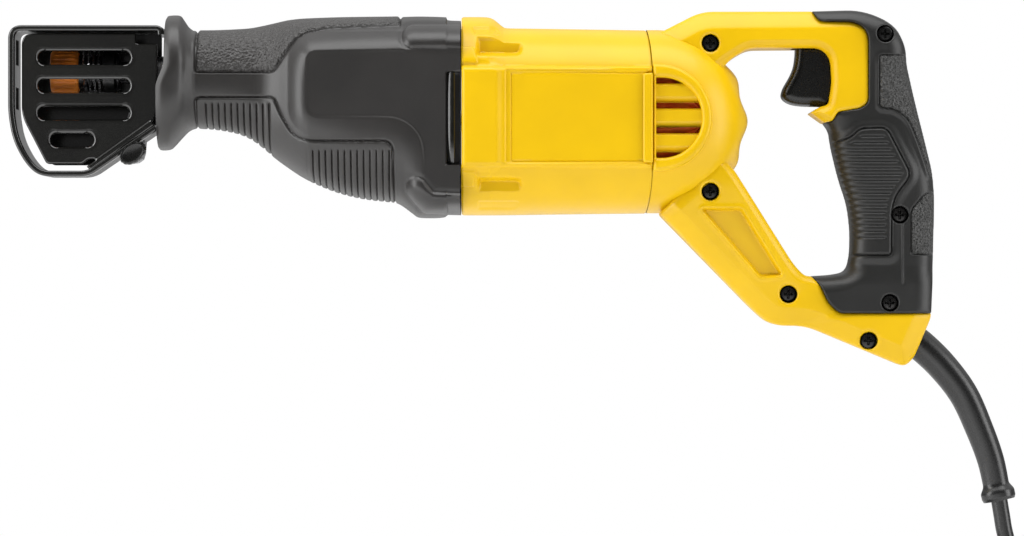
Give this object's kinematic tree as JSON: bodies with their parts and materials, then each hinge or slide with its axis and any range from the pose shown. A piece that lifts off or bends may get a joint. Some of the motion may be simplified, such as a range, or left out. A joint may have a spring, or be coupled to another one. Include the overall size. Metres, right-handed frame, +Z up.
{
  "type": "reciprocating saw",
  "caption": "Corded reciprocating saw with a pivoting shoe, quick blade clamp, rubber-booted gear case, yellow motor case and D-shaped rear handle with trigger, grip and mains lead.",
  "frame": {"origin": "middle of the rear grip, where the hand holds the tool", "axes": "+X from the shoe back along the plunger and motor to the grip, +Z up with the tool held level, -Y its left side"},
  "size_m": [0.5254, 0.0834, 0.4661],
  "materials": {
    "yellow_plastic": "satin moulded",
    "boot_rubber": "fine grained",
    "grip_rubber": "satin, ribbed",
    "black_plastic": "satin",
    "black_gloss": "glossy",
    "black_steel": "glossy black coating",
    "orange_clamp": "glossy",
    "steel": "ground",
    "dark_steel": "blackened",
    "cast_alloy": "die cast",
    "copper": "enamelled copper",
    "carbon": "carbon",
    "cord_rubber": "smooth, satin",
    "bronze": "sintered"
  },
  "bodies": {
    "housing": {"boot": "boot_rubber", "gear_case": "cast_alloy", "gear_case_plate": "black_gloss", "plunger_front_bush": "bronze", "plunger_rear_bush": "bronze", "jackshaft_front_bearing": "steel", "jackshaft_rear_bearing": "steel", "motor_front_bearing": "steel", "motor_rear_bearing": "steel", "field_stack": "steel", "field_coil_upper": "copper", "field_coil_lower": "copper", "brush_holder_left": "bronze", "brush_holder_right": "bronze", "brush_left": "carbon", "brush_right": "carbon", "fan_baffle": "black_plastic", "field_case": "yellow_plastic", "handle_left": "yellow_plastic", "handle_right": "yellow_plastic", "grip_left": "grip_rubber", "grip_right": "grip_rubber", "trigger_spring": "steel", "switch_body": "black_plastic", "cord_clamp": "black_plastic", "cord_sleeve": "cord_rubber", "supply_lead": "cord_rubber", "cord": "cord_rubber", "cord_coil": "cord_rubber", "cord_tie": "black_plastic", "cord_tail": "cord_rubber", "plug_body": "cord_rubber", "handle_screw_1": "dark_steel", "handle_screw_2": "dark_steel", "handle_screw_3": "dark_steel", "handle_screw_4": "dark_steel", "handle_screw_5": "dark_steel", "handle_screw_6": "dark_steel", "handle_screw_7": "dark_steel"},
    "armature": {"armature_shaft": "steel", "armature_core": "steel", "armature_windings": "copper", "commutator": "copper", "cooling_fan": "black_plastic"},
    "jackshaft": {"jackshaft": "steel", "drive_gear": "steel", "swash_hub": "steel"},
    "wobble": {"wobble_arm": "steel"},
    "plunger": {"plunger": "steel", "clamp_body": "dark_steel", "clamp_spring": "steel"},
    "clamp_collar": {"clamp_collar": "orange_clamp"},
    "shoe_carrier": {"shoe_post": "steel"},
    "shoe": {"shoe_strap": "black_steel", "shoe_guard_left": "black_steel", "shoe_guard_right": "black_steel", "shoe_pivot_pin": "steel", "shoe_pivot_knob": "black_plastic"},
    "trigger": {"trigger": "black_plastic"}
  },
  "joints": [
    {"name": "armature_spin", "type": "hinge", "parent": "housing", "child": "armature", "pos_m": [-0.16, 0, 0.0334], "axis": [1, 0, 0], "continuous": true},
    {"name": "jackshaft_spin", "type": "hinge", "parent": "housing", "child": "jackshaft", "pos_m": [-0.236, 0, 0.0146], "axis": [1, 0, 0], "continuous": true},
    {"name": "plunger_slide", "type": "slide", "parent": "housing", "child": "plunger", "axis": [1, 0, 0], "range_m": [-0.0144, 0.0144]},
    {"name": "wobble_rock", "type": "hinge", "parent": "housing", "child": "wobble", "pos_m": [-0.245, 0, 0.0146], "axis": [0, 1, 0], "range_deg": [-19.1, 19.1]},
    {"name": "clamp_turn", "type": "hinge", "parent": "plunger", "child": "clamp_collar", "pos_m": [-0.397, 0, 0.0572], "axis": [1, 0, 0], "range_deg": [0, 50], "stiffness_Nm_per_rad": 0.15, "springref_deg": -17.19},
    {"name": "shoe_extend", "type": "slide", "parent": "housing", "child": "shoe_carrier", "axis": [-1, 0, 0], "range_m": [0, 0.03]},
    {"name": "shoe_pivot", "type": "hinge", "parent": "shoe_carrier", "child": "shoe", "pos_m": [-0.3657, 0, 0.0179], "axis": [0, 1, 0], "range_deg": [-12, 0]},
    {"name": "trigger_press", "type": "slide", "parent": "housing", "child": "trigger", "axis": [1, 0, 0], "range_m": [0, 0.0065], "stiffness_N_per_m": 900, "springref_m": -0.003, "deforming": ["trigger_spring"]}
  ],
  "couplings": [
    {"joint": "jackshaft_spin", "follows": "armature_spin", "ratio": -0.175},
    {"joint": "wobble_rock", "follows": "plunger_slide", "rad_per_m": 23.1}
  ]
}
